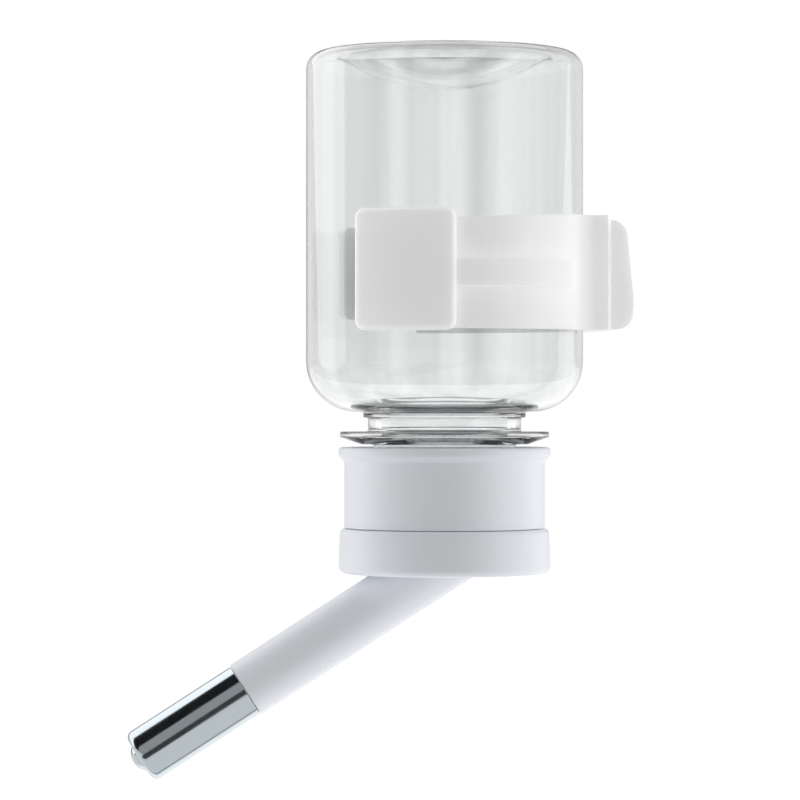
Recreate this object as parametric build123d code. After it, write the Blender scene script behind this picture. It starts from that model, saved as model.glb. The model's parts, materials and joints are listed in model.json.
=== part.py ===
from build123d import *
import math
import os

# Hanging water bottle for rabbits: an inverted clear bottle held by a split snap clip, with a
# screw cap, a swivelling slanted spout and a spring-loaded steel ball valve in its steel tip.
# Millimetres, +Z up. Shapes are drawn about the bottle's axis with Z = 0 at the clip's mid
# height, and leave here moved so that the origin is the middle of the cage seat on the clip.

# Bottle
BOTTLE_R = 34.6
BOTTLE_WALL = 1.2
BASE_Z = 56.0
BASE_CORNER_R = 4.5
FOOT_INNER_R = 26.6
PUNT_EDGE_R = 24.4
PUNT_EDGE_Z = 54.7
PUNT_Z = 47.6
SHOULDER_Z = -23.0
SHOULDER_R = 12.7
NECK_R = 19.1
NECK_BORE_R = 15.9
NECK_STEP_R = 20.3
NECK_STEP_H = 1.5
FLANGE_R = 26.1
FLANGE_TOP_Z = -38.9
FLANGE_RIM_H = 1.35
FLANGE_CONE_R = 20.9
FLANGE_CONE_Z = -42.0
FINISH_R = 17.7
LIP_Z = -59.6
THROAT_R = 2.6
PUNT_RIM_T = 0.4

# Neck thread, one start, right-handed
PITCH = 4.2
THREAD_TURNS = 1.6
THREAD_HEIGHT = 1.15
THREAD_BASE = 1.5
THREAD_CREST = 0.8
THREAD_START_Z = -56.6
THREAD_START_DEG = 20.0
THREAD_SINK = 0.4

# Screw cap
CAP_R = 25.1
CAP_LIP_R = 26.5
CAP_TOP_Z = -42.8
CAP_LIP_H = 3.4
CAP_BOTTOM_Z = -62.8
CAP_WALL = 1.7
CAP_FLOOR_T = 1.8
CAP_THREAD_WALL_R = 19.4
CAP_THREAD_WALL_T = 1.5
GLAND_R = 17.0
GLAND_Z = -67.2
CAP_EDGE = 0.4
CAP_LIP_BAND = 0.9
THREAD_WALL_DROP = 1.5
SEAL_T = 1.3
SEAL_PLAY = 0.3
FACE_GAP = 0.02

# Swivel hub and its rings
HUB_R = 13.6
HUB_BORE_R = 11.6
HUB_TOP_Z = -58.2
HUB_FIT = 0.08
SLIP_WASHER_T = 0.8
SLIP_WASHER_RIM = 0.4
SNAP_RING_T = 1.1
SNAP_GROOVE_R = 12.8
SNAP_RING_R = 15.1
SNAP_RING_Z = CAP_BOTTOM_Z + CAP_FLOOR_T + SLIP_WASHER_T + 0.05
SNAP_GAP = 4.0
ORING_D = 1.1
ORING_Z = -65.2
GROOVE_PLAY = 0.1

# Swivel cover ring
RING_TOP_R = 26.0
RING_BOTTOM_R = 26.5
RING_TOP_Z = -63.1
RING_BOTTOM_Z = -74.25
RING_WALL = 1.8
RING_FLOOR_T = 1.8
RING_CORNER_R = 1.5
RING_RIM_R = 0.7

# Spout: lengths along its own axis from the point where that axis meets the bottle's
SPOUT_DROP_DEG = 32.6
SPOUT_START_Z = -71.25
TUBE_R = 7.31
TUBE_BORE_R = 4.6
TUBE_END = 59.1
SPIGOT_R = 6.3
SPIGOT_END = 73.0
TUBE_FOOT_T = 1.8
TUBE_FOOT_R = 23.4
TUBE_LEAD_IN = 25.0
TUBE_HOLE_FIT = 0.05
SLEEVE_R = 6.87
SLEEVE_T = 0.5
SLEEVE_START = 59.2
SLEEVE_END = 90.3
SLEEVE_ROLL_R = 1.9
SLEEVE_MOUTH_R = 4.02
SLEEVE_ORING_D = 0.95
SLEEVE_ORING_AT = 62.5
BALL_R = 4.5
BALL_AT = 87.6
SEAT_START = 87.9
SEAT_END = 89.7
SEAT_HOLE_R = 3.6
SEAT_RIM_H = 0.4
SEAT_FIT = 0.07
BALL_FIT = 0.04
VALVE_GAP = 0.05
HOUSING_BORE_R = 5.0
HOUSING_START = 73.2
STOP_START = 74.3
STOP_T = 1.0
STOP_FIT = 0.03
STOP_HOLE_R = 1.3
STOP_PORT_R = 0.9
STOP_PORTS_AT_R = 3.2
STOP_PORTS = 6
SPRING_R = 3.0
SPRING_WIRE_R = 0.3
SPRING_TURNS = 6

# Snap clip
CLIP_INNER_R = 34.8
CLIP_OUTER_R = 37.0
CLIP_BOTTOM_Z = -13.7
CLIP_TOP_Z = 14.5
CLIP_TOP_TILT_DEG = 3.1
CLIP_TOP_LEVEL_X = 28.0
NEAR_END_DEG = 129.4
FAR_END_DEG = 133.6
RIB_R = 39.0
RIB_BOTTOM_Z = -3.6
RIB_TOP_Z = 3.2
RIB_FROM_DEG = 41.0
PAD_TO_DEG = 92.0
PAD_LAP_DEG = 4.0
NEAR_PAD_R = 40.5
NEAR_PAD_Z = (-14.2, 15.3)
NEAR_POCKET_R = 38.9
NEAR_POCKET_Z = (-11.2, 9.4)
NEAR_POCKET_DEG = (99.0, 127.4)
FAR_PAD_R = 38.4
FAR_PAD_Z = (-10.4, 13.2)
PAD_CORNER_R = 2.4
PAD_EDGE_R = 1.6
BOSS_HALF_W = 17.7
BOSS_FILLET_R = 7.0
BACK_HALF_W = 18.1
BACK_T = 3.3
SEAT_X = 38.6

# Lock plate and its bolt, on the axis through the cage seat; the rim is (X, Z) points
PLATE_X = 39.3
PLATE_RIM = ((44.6, -13.6), (45.0, -6.5), (43.0, 13.3))
PLATE_HALF_W = 18.1
PLATE_CORNER_R = 4.0
RECESS_R = 10.3
RECESS_X = 40.5
WASHER_R = 6.5
WASHER_T = 0.6
NUT_R = 10.0
NUT_X = (41.15, 45.2)
NUT_GRIPS = 24
NUT_GRIP_R = 0.6
NUT_GRIPS_AT_R = 10.2
NUT_DIMPLE_R = 1.7
NUT_DIMPLES_AT_R = 7.0
NUT_DIMPLE_DEPTH = 1.5
INSERT_INSET = 0.2
INSERT_R = 4.2
BOLT_R = 2.5
BOLT_FIT = 0.08
BOLT_END_X = 44.9
BOLT_HEAD = 10.0
BOLT_HEAD_X = (35.2, 37.0)
BOLT_TIP = 0.4

# Longer than any part, for blocks and cylinders that cut right through
THROUGH = 200.0

ORIGIN = Location((-SEAT_X, 0, 0))
SPOUT_OUT = (-math.cos(math.radians(SPOUT_DROP_DEG)), 0, -math.sin(math.radians(SPOUT_DROP_DEG)))
SPOUT = Plane(origin=(0, 0, SPOUT_START_Z), x_dir=(0, 1, 0), z_dir=SPOUT_OUT).location


def turned(*outline):
    """Lines and arcs that close an outline in (radius, height), turned about Z."""
    edges = [edge for line in outline for edge in line.edges()]
    return revolve(Plane.XZ * make_face(edges), Axis.Z)


def turned_polygon(*points):
    return turned(Polyline(*points, close=True))


def tube(outer_r, inner_r, low, high):
    return turned_polygon((inner_r, low), (outer_r, low), (outer_r, high), (inner_r, high))


def torus_ring(mid_r, section_r, height):
    return Pos(0, 0, height) * Torus(mid_r, section_r)


def sector(outer_r, inner_r, from_deg, to_deg, low, high):
    """A block bent round Z, between two polar angles."""
    profile = Plane.XZ * Pos((outer_r + inner_r) / 2, (low + high) / 2) * Rectangle(
        outer_r - inner_r, high - low)
    return Rot(0, 0, from_deg) * revolve(profile, Axis.Z, to_deg - from_deg)


def thread_ridge(root_r, crest_r, start_z, turns):
    """A helical ridge, sunk a little into the wall at root_r and standing to crest_r."""
    sunk = math.copysign(THREAD_SINK, root_r - crest_r)
    path = Pos(0, 0, start_z) * Helix(PITCH, PITCH * turns, root_r)
    half_base, half_crest = THREAD_BASE / 2, THREAD_CREST / 2
    at_start = Plane(origin=path @ 0, x_dir=(1, 0, 0), z_dir=path % 0)
    outline = Polyline((sunk, -half_base), (crest_r - root_r, -half_crest),
                       (crest_r - root_r, half_crest), (sunk, half_base), close=True)
    ridge = sweep(at_start * make_face(outline), path=path, is_frenet=True)
    return Rot(0, 0, THREAD_START_DEG) * ridge


def make_bottle():
    wall = BOTTLE_WALL
    step_z = SHOULDER_Z - SHOULDER_R - NECK_STEP_H
    corner_at = BOTTLE_R - BASE_CORNER_R
    shoulder_at = BOTTLE_R - SHOULDER_R
    shoulder_z = SHOULDER_Z - SHOULDER_R
    turn = math.sqrt(0.5)
    punt_rise = PUNT_EDGE_Z - PUNT_Z
    punt_r = (PUNT_EDGE_R ** 2 + punt_rise ** 2) / (2 * punt_rise)
    punt_mid_r = PUNT_EDGE_R / 2
    punt_mid_z = PUNT_Z + punt_r - math.sqrt(punt_r ** 2 - punt_mid_r ** 2)
    outside = [
        ThreePointArc((0, PUNT_Z), (punt_mid_r, punt_mid_z), (PUNT_EDGE_R, PUNT_EDGE_Z)),
        Line((PUNT_EDGE_R, PUNT_EDGE_Z), (FOOT_INNER_R, BASE_Z)),
        Line((FOOT_INNER_R, BASE_Z), (corner_at, BASE_Z)),
        ThreePointArc((corner_at, BASE_Z),
                      (corner_at + BASE_CORNER_R * turn, BASE_Z - BASE_CORNER_R * (1 - turn)),
                      (BOTTLE_R, BASE_Z - BASE_CORNER_R)),
        Line((BOTTLE_R, BASE_Z - BASE_CORNER_R), (BOTTLE_R, SHOULDER_Z)),
        ThreePointArc((BOTTLE_R, SHOULDER_Z),
                      (shoulder_at + SHOULDER_R * turn, SHOULDER_Z - SHOULDER_R * turn),
                      (shoulder_at, shoulder_z)),
        Polyline((shoulder_at, shoulder_z), (NECK_STEP_R, shoulder_z), (NECK_STEP_R, step_z),
                 (NECK_R, step_z), (NECK_R, FLANGE_TOP_Z), (FLANGE_R, FLANGE_TOP_Z),
                 (FLANGE_R, FLANGE_TOP_Z - FLANGE_RIM_H), (FLANGE_CONE_R, FLANGE_CONE_Z),
                 (FINISH_R, FLANGE_CONE_Z), (FINISH_R, LIP_Z), (NECK_BORE_R, LIP_Z)),
    ]
    inner_r = SHOULDER_R - wall
    corner_r = BASE_CORNER_R - wall
    throat_z = shoulder_z + wall - THROAT_R
    inside = [
        Line((NECK_BORE_R, LIP_Z), (NECK_BORE_R, throat_z)),
        ThreePointArc((NECK_BORE_R, throat_z),
                      (NECK_BORE_R + THROAT_R * (1 - turn), throat_z + THROAT_R * turn),
                      (NECK_BORE_R + THROAT_R, shoulder_z + wall)),
        Line((NECK_BORE_R + THROAT_R, shoulder_z + wall), (shoulder_at, shoulder_z + wall)),
        ThreePointArc((shoulder_at, shoulder_z + wall),
                      (shoulder_at + inner_r * turn, SHOULDER_Z - inner_r * turn),
                      (BOTTLE_R - wall, SHOULDER_Z)),
        Line((BOTTLE_R - wall, SHOULDER_Z), (BOTTLE_R - wall, BASE_Z - BASE_CORNER_R)),
        ThreePointArc((BOTTLE_R - wall, BASE_Z - BASE_CORNER_R),
                      (corner_at + corner_r * turn, BASE_Z - BASE_CORNER_R + corner_r * turn),
                      (corner_at, BASE_Z - wall)),
        Polyline((corner_at, BASE_Z - wall), (FOOT_INNER_R + PUNT_RIM_T, BASE_Z - wall),
                 (PUNT_EDGE_R, PUNT_EDGE_Z - wall)),
        ThreePointArc((PUNT_EDGE_R, PUNT_EDGE_Z - wall), (punt_mid_r, punt_mid_z - wall),
                      (0, PUNT_Z - wall)),
        Line((0, PUNT_Z - wall), (0, PUNT_Z)),
    ]
    shell = turned(*outside, *inside)
    return shell + thread_ridge(FINISH_R, FINISH_R + THREAD_HEIGHT, THREAD_START_Z, THREAD_TURNS)


def make_screw_cap():
    floor_z = CAP_BOTTOM_Z + CAP_FLOOR_T
    lip_z = CAP_TOP_Z - CAP_LIP_H
    thread_wall_z = CAP_TOP_Z - THREAD_WALL_DROP
    thread_wall_outer = CAP_THREAD_WALL_R + CAP_THREAD_WALL_T
    skirt = turned_polygon(
        (HUB_R + HUB_FIT, GLAND_Z), (GLAND_R, GLAND_Z), (GLAND_R, CAP_BOTTOM_Z),
        (CAP_R - CAP_EDGE, CAP_BOTTOM_Z), (CAP_R, CAP_BOTTOM_Z + CAP_EDGE), (CAP_R, lip_z),
        (CAP_LIP_R, CAP_TOP_Z - CAP_LIP_BAND), (CAP_LIP_R, CAP_TOP_Z - CAP_EDGE),
        (CAP_LIP_R - CAP_EDGE, CAP_TOP_Z), (CAP_R - CAP_WALL, CAP_TOP_Z),
        (CAP_R - CAP_WALL, floor_z), (thread_wall_outer, floor_z),
        (thread_wall_outer, thread_wall_z), (CAP_THREAD_WALL_R, thread_wall_z),
        (CAP_THREAD_WALL_R, floor_z), (HUB_R + HUB_FIT, floor_z))
    ridge = thread_ridge(CAP_THREAD_WALL_R, CAP_THREAD_WALL_R - THREAD_HEIGHT,
                         THREAD_START_Z + PITCH / 2, THREAD_TURNS)
    return skirt + ridge


def make_cap_seal():
    low = CAP_BOTTOM_Z + CAP_FLOOR_T + FACE_GAP
    return tube(CAP_THREAD_WALL_R - SEAL_PLAY, NECK_BORE_R, low, low + SEAL_T)


def make_swivel_ring():
    floor_top = RING_BOTTOM_Z + RING_FLOOR_T
    wall_r = RING_TOP_R - RING_WALL
    cup = turned_polygon(
        (0, RING_BOTTOM_Z), (RING_BOTTOM_R, RING_BOTTOM_Z), (RING_TOP_R, RING_TOP_Z),
        (wall_r, RING_TOP_Z), (wall_r, floor_top), (0, floor_top))
    cup = fillet(cup.edges().filter_by(GeomType.CIRCLE).group_by(Axis.Z)[0], RING_CORNER_R)
    cup = fillet(cup.edges().filter_by(GeomType.CIRCLE).group_by(Axis.Z)[-1], RING_RIM_R)
    return cup - SPOUT * Cylinder(TUBE_R + TUBE_HOLE_FIT, THROUGH)


def make_spout_tube():
    foot_low = RING_BOTTOM_Z + RING_FLOOR_T
    foot_top = foot_low + TUBE_FOOT_T
    groove_r = SPIGOT_R - SLEEVE_ORING_D
    groove_half = SLEEVE_ORING_D / 2 + GROOVE_PLAY
    barrel = SPOUT * turned_polygon(
        (0, -TUBE_LEAD_IN), (TUBE_R, -TUBE_LEAD_IN), (TUBE_R, TUBE_END), (SPIGOT_R, TUBE_END),
        (SPIGOT_R, SLEEVE_ORING_AT - groove_half), (groove_r, SLEEVE_ORING_AT - groove_half),
        (groove_r, SLEEVE_ORING_AT + groove_half), (SPIGOT_R, SLEEVE_ORING_AT + groove_half),
        (SPIGOT_R, SPIGOT_END), (0, SPIGOT_END))
    barrel -= Pos(0, 0, foot_top + THROUGH / 2) * Box(THROUGH, THROUGH, THROUGH)
    ring_groove_r = HUB_R - ORING_D
    ring_half = ORING_D / 2 + GROOVE_PLAY
    hub = turned_polygon(
        (HUB_BORE_R, foot_low), (TUBE_FOOT_R, foot_low), (TUBE_FOOT_R, foot_top),
        (HUB_R, foot_top), (HUB_R, ORING_Z - ring_half), (ring_groove_r, ORING_Z - ring_half),
        (ring_groove_r, ORING_Z + ring_half), (HUB_R, ORING_Z + ring_half), (HUB_R, SNAP_RING_Z),
        (SNAP_GROOVE_R, SNAP_RING_Z), (SNAP_GROOVE_R, SNAP_RING_Z + SNAP_RING_T),
        (HUB_R, SNAP_RING_Z + SNAP_RING_T), (HUB_R, HUB_TOP_Z), (HUB_BORE_R, HUB_TOP_Z))
    floor = Pos(0, 0, (foot_low + foot_top) / 2) * Cylinder((HUB_BORE_R + HUB_R) / 2, TUBE_FOOT_T)
    bore = SPOUT * Cylinder(TUBE_BORE_R, THROUGH)
    bore -= Pos(0, 0, foot_top + THROUGH / 2) * Box(THROUGH, THROUGH, THROUGH)
    return barrel + hub + floor - bore


def make_snap_ring():
    ring = tube(SNAP_RING_R, SNAP_GROOVE_R, SNAP_RING_Z, SNAP_RING_Z + SNAP_RING_T)
    return ring - Pos(0, SNAP_RING_R, SNAP_RING_Z) * Box(SNAP_GAP, 2 * SNAP_GAP, 2 * SNAP_GAP)


def make_slip_washer():
    low = CAP_BOTTOM_Z + CAP_FLOOR_T + FACE_GAP
    return tube(SNAP_RING_R + SLIP_WASHER_RIM, HUB_R + HUB_FIT, low, low + SLIP_WASHER_T)


def make_tip_sleeve():
    roll_at = SLEEVE_END - SLEEVE_ROLL_R
    centre_r = SLEEVE_R - SLEEVE_ROLL_R
    turn = math.sqrt(0.5)
    inner_roll = SLEEVE_ROLL_R - SLEEVE_T
    inner_r = SLEEVE_R - SLEEVE_T
    return SPOUT * turned(
        Line((SLEEVE_R, SLEEVE_START), (SLEEVE_R, roll_at)),
        ThreePointArc((SLEEVE_R, roll_at),
                      (centre_r + SLEEVE_ROLL_R * turn, roll_at + SLEEVE_ROLL_R * turn),
                      (centre_r, SLEEVE_END)),
        Polyline((centre_r, SLEEVE_END), (SLEEVE_MOUTH_R, SLEEVE_END),
                 (SLEEVE_MOUTH_R, SLEEVE_END - SLEEVE_T), (centre_r, SLEEVE_END - SLEEVE_T)),
        ThreePointArc((centre_r, SLEEVE_END - SLEEVE_T),
                      (centre_r + inner_roll * turn, roll_at + inner_roll * turn),
                      (inner_r, roll_at)),
        Polyline((inner_r, roll_at), (inner_r, SLEEVE_START), (SLEEVE_R, SLEEVE_START)))


def make_valve_housing():
    shelf_r = HOUSING_BORE_R - 1
    end = SEAT_START - VALVE_GAP
    return SPOUT * turned_polygon(
        (shelf_r, HOUSING_START), (SPIGOT_R, HOUSING_START), (SPIGOT_R, end),
        (HOUSING_BORE_R, end), (HOUSING_BORE_R, STOP_START), (shelf_r, STOP_START))


def make_valve_seat():
    outer_r = SLEEVE_R - SLEEVE_T - SEAT_FIT
    ring = turned_polygon(
        (SEAT_HOLE_R, SEAT_START), (outer_r, SEAT_START), (outer_r, SEAT_START + SEAT_RIM_H),
        (SLEEVE_R - SLEEVE_ROLL_R, SEAT_END), (SEAT_HOLE_R, SEAT_END))
    return SPOUT * (ring - Pos(0, 0, BALL_AT) * Sphere(BALL_R + BALL_FIT))


def make_ball():
    return SPOUT * Pos(0, 0, BALL_AT) * Sphere(BALL_R)


def make_spring():
    """Wire round the spout's axis, from the stop to the ball's inner side."""
    low = STOP_START + STOP_T + SPRING_WIRE_R + VALVE_GAP
    reach = BALL_R + SPRING_WIRE_R + VALVE_GAP
    high = BALL_AT - math.sqrt(reach ** 2 - SPRING_R ** 2)
    path = Pos(0, 0, low) * Helix((high - low) / SPRING_TURNS, high - low, SPRING_R)
    section = Plane(origin=path @ 0, z_dir=path % 0) * Circle(SPRING_WIRE_R)
    return SPOUT * sweep(section, path=path, is_frenet=True)


def make_spring_stop():
    disc = Pos(0, 0, STOP_START + STOP_T / 2) * Cylinder(HOUSING_BORE_R - STOP_FIT, STOP_T)
    disc -= Pos(0, 0, STOP_START) * Cylinder(STOP_HOLE_R, THROUGH)
    for place in PolarLocations(STOP_PORTS_AT_R, STOP_PORTS):
        disc -= place * Pos(0, 0, STOP_START) * Cylinder(STOP_PORT_R, THROUGH)
    return SPOUT * disc


def clip_outline():
    """The clip seen from above: a closed ring that thickens into the block on the cage side."""
    outline = Circle(CLIP_OUTER_R) + Pos(SEAT_X / 2, 0) * Rectangle(SEAT_X, 2 * BOSS_HALF_W)
    concave = outline.vertices().sort_by(Axis.X)[-4:].sort_by(Axis.X)[:2]
    outline = fillet(concave, BOSS_FILLET_R)
    back_x = SEAT_X - BACK_T / 2
    return outline + Pos(back_x, 0) * Rectangle(BACK_T, 2 * BACK_HALF_W) - Circle(CLIP_INNER_R)


def rounded_pad(outer_r, from_deg, to_deg, low, high):
    """A jaw at the end of an arm, with its four corners and then its outer edges rounded."""
    pad = sector(outer_r, CLIP_INNER_R, from_deg, to_deg, low, high)
    radial = pad.edges().filter_by(GeomType.LINE).filter_by(Axis.Z, reverse=True)
    pad = fillet(radial, PAD_CORNER_R)
    outer = pad.faces().filter_by(GeomType.CYLINDER).sort_by(lambda f: f.area)[-1]
    return fillet(outer.edges(), PAD_EDGE_R)


def make_near_pad():
    pad = rounded_pad(NEAR_PAD_R, -NEAR_END_DEG, -PAD_TO_DEG, *NEAR_PAD_Z)
    first, last = NEAR_POCKET_DEG
    return pad - sector(NEAR_POCKET_R, CLIP_INNER_R - 1, -last, -first, *NEAR_POCKET_Z)


def make_clip_ring():
    height = CLIP_TOP_Z - CLIP_BOTTOM_Z
    ring = Pos(0, 0, CLIP_BOTTOM_Z) * extrude(clip_outline(), height)
    above = Pos(-THROUGH / 2, 0, THROUGH / 2) * Box(THROUGH, THROUGH, THROUGH)
    ring -= Pos(CLIP_TOP_LEVEL_X, 0, CLIP_TOP_Z) * Rot(0, -CLIP_TOP_TILT_DEG, 0) * above
    arm_end = PAD_TO_DEG + PAD_LAP_DEG
    ring -= sector(THROUGH, 0, arm_end, 360 - arm_end, -THROUGH, THROUGH)
    for from_deg, to_deg in ((-PAD_TO_DEG - 1, -RIB_FROM_DEG), (RIB_FROM_DEG, PAD_TO_DEG + 1)):
        ring += sector(RIB_R, CLIP_OUTER_R - 0.5, from_deg, to_deg, RIB_BOTTOM_Z, RIB_TOP_Z)
    ring += make_near_pad()
    ring += rounded_pad(FAR_PAD_R, PAD_TO_DEG, FAR_END_DEG, *FAR_PAD_Z)
    hole = BOLT_HEAD + 2 * BOLT_FIT
    head_depth = BOLT_HEAD_X[1] - CLIP_INNER_R + BACK_T
    ring -= Pos(BOLT_HEAD_X[1] - head_depth / 2, 0, 0) * Box(head_depth, hole, hole)
    return ring - Pos(SEAT_X, 0, 0) * Rot(0, 90, 0) * Cylinder(BOLT_R + BOLT_FIT, 4 * BACK_T)


def make_clip_bolt():
    low, high = BOLT_HEAD_X
    head = Pos((low + high) / 2, 0, 0) * Box(high - low, BOLT_HEAD, BOLT_HEAD)
    shank_length = BOLT_END_X - low
    shank = Pos(low + shank_length / 2, 0, 0) * Rot(0, 90, 0) * Cylinder(BOLT_R, shank_length)
    tip = shank.edges().filter_by(GeomType.CIRCLE).sort_by(Axis.X)[-1]
    return head + chamfer(tip, BOLT_TIP)


def make_lock_plate():
    inner = [(PLATE_X, PLATE_RIM[-1][1]), (PLATE_X, PLATE_RIM[0][1])]
    outline = make_face(Plane.XZ * Polyline(*PLATE_RIM, *inner, close=True))
    plate = extrude(outline, PLATE_HALF_W, both=True)
    rims = plate.edges().filter_by(Axis.Y).sort_by(Axis.X)[2:].sort_by(Axis.Z)
    plate = fillet([rims[0], rims[-1]], PLATE_CORNER_R)
    depth = 2 * BACK_T
    plate -= Pos(RECESS_X + depth / 2, 0, 0) * Rot(0, 90, 0) * Cylinder(RECESS_R, depth)
    return plate - Pos(PLATE_X, 0, 0) * Rot(0, 90, 0) * Cylinder(BOLT_R + BOLT_FIT, 2 * depth)


def make_bolt_washer():
    low = RECESS_X + FACE_GAP
    return Rot(0, 90, 0) * tube(WASHER_R, BOLT_R + BOLT_FIT, low, low + WASHER_T)


def make_thumb_nut():
    low, high = NUT_X
    disc = Pos(0, 0, (low + high) / 2) * Cylinder(NUT_R, high - low)
    disc -= Pos(0, 0, low) * Cylinder(INSERT_R, THROUGH)
    for place in PolarLocations(NUT_GRIPS_AT_R, NUT_GRIPS):
        disc -= place * Pos(0, 0, low) * Cylinder(NUT_GRIP_R, THROUGH)
    for place in PolarLocations(NUT_DIMPLES_AT_R, 2, 90):
        disc -= place * Pos(0, 0, high) * Cylinder(NUT_DIMPLE_R, 2 * NUT_DIMPLE_DEPTH)
    return Rot(0, 90, 0) * disc


def make_nut_insert():
    low, high = NUT_X
    return Rot(0, 90, 0) * tube(INSERT_R, BOLT_R + BOLT_FIT, low, high - INSERT_INSET)


def make_parts():
    return {
        "bottle": make_bottle(),
        "screw_cap": make_screw_cap(),
        "cap_seal": make_cap_seal(),
        "swivel_ring": make_swivel_ring(),
        "spout_tube": make_spout_tube(),
        "swivel_oring": torus_ring(HUB_R - ORING_D / 2 + 0.01, ORING_D / 2, ORING_Z),
        "slip_washer": make_slip_washer(),
        "snap_ring": make_snap_ring(),
        "tip_sleeve": make_tip_sleeve(),
        "sleeve_oring": SPOUT * torus_ring(SPIGOT_R - SLEEVE_ORING_D / 2 + 0.02, SLEEVE_ORING_D / 2,
                                           SLEEVE_ORING_AT),
        "valve_housing": make_valve_housing(),
        "valve_seat": make_valve_seat(),
        "valve_ball": make_ball(),
        "valve_spring": make_spring(),
        "spring_stop": make_spring_stop(),
        "clip_ring": make_clip_ring(),
        "clip_bolt": make_clip_bolt(),
        "lock_plate": make_lock_plate(),
        "bolt_washer": make_bolt_washer(),
        "thumb_nut": make_thumb_nut(),
        "nut_insert": make_nut_insert(),
    }


os.makedirs("parts", exist_ok=True)
for name, part in make_parts().items():
    placed = ORIGIN * part
    print(name, "solids", len(placed.solids()), "volume", round(placed.volume, 1))
    export_step(placed, f"parts/{name}.step")
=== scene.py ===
"""Studio scene of a clear hanging water bottle for rabbits, built round its CAD frame.

Everything is in metres. The bottle's axis is upright, the clip's cage side faces +X, and the
spout slants down towards -X, as in the frame.
"""
import json
import math

import bmesh
import bpy
from bpy.props import FloatProperty, IntProperty, PointerProperty, StringProperty
from mathutils import Matrix, Vector


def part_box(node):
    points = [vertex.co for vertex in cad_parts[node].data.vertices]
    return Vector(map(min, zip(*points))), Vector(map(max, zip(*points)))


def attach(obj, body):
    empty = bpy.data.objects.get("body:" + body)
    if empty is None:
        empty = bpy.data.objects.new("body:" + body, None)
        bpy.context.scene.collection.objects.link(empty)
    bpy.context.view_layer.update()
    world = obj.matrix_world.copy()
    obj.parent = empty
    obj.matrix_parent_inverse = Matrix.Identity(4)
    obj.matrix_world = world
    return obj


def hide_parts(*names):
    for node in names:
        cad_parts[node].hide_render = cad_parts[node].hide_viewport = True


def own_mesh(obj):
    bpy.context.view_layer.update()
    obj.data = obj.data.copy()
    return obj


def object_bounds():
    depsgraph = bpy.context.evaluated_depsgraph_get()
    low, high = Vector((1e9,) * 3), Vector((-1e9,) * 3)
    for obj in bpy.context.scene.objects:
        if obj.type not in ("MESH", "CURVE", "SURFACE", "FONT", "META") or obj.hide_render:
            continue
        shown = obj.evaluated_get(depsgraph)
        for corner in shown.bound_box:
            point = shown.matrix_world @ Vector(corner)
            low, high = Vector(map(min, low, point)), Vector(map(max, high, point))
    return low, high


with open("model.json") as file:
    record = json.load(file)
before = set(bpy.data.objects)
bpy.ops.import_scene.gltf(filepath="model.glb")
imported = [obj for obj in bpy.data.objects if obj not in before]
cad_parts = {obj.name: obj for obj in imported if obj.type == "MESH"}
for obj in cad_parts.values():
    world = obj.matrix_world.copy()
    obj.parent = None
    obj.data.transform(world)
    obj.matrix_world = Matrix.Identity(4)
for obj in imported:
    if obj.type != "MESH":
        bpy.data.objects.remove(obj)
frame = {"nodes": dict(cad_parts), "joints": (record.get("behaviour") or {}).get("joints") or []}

bl_info = {
    "name": "Hanging Water Bottle",
    "version": (1, 0, 0),
    "blender": (4, 5, 0),
    "location": "3D View > Sidebar > Water Bottle",
    "description": "Builds a clear hanging water bottle with its clip, screw cap, spout and valve",
    "category": "Object",
}

MM = 0.001
CAD_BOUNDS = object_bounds()
SEGMENTS = 256
FINE_SEGMENTS = 160
ARC_STEP = math.radians(6)
SIDE_USED = 0.98
SHARP_ANGLE = math.radians(35)
FLAT_ANGLE = math.radians(0.4)
MERGE = 0.001 * MM
# A turning line keeps its look for about 17 mm on its way round
LATHE_SPREAD = 60
CARD_DISTANCE = 0.7
CARD_LENGTH = 2.4

# Places that the frame gives
BOTTLE_LOW, BOTTLE_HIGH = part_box("bottle")
CAP_LOW, CAP_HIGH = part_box("screw_cap")
RING_LOW, RING_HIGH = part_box("swivel_ring")
BALL_LOW, BALL_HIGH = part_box("valve_ball")
NUT_LOW, NUT_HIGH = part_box("thumb_nut")
AXIS_X = (BOTTLE_LOW.x + BOTTLE_HIGH.x) / 2
BOTTLE_R = (BOTTLE_HIGH.x - BOTTLE_LOW.x) / 2
BALL_CENTRE = (BALL_LOW + BALL_HIGH) / 2
BALL_R = (BALL_HIGH.x - BALL_LOW.x) / 2
PUSH_AXIS = Vector(next(j["axis"] for j in frame["joints"] if j["name"] == "ball_push"))
ON_AXIS = Matrix.Translation((AXIS_X, 0, 0))


# ---------------------------------------------------------------- shapes

def spout_place():
    """The matrix that puts +Z along the spout, outwards, with the ball's centre at the origin."""
    out = -PUSH_AXIS.normalized()
    side = Vector((0, 1, 0))
    turn = Matrix((side, out.cross(side), out)).transposed().to_4x4()
    return Matrix.Translation(BALL_CENTRE) @ turn


def nut_place():
    """The matrix that puts +Z along the thumb nut's axis, with the nut's inner face at Z = 0."""
    return Matrix.Translation((NUT_LOW.x, 0, 0)) @ Matrix.Rotation(math.radians(90), 4, "Y")


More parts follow.
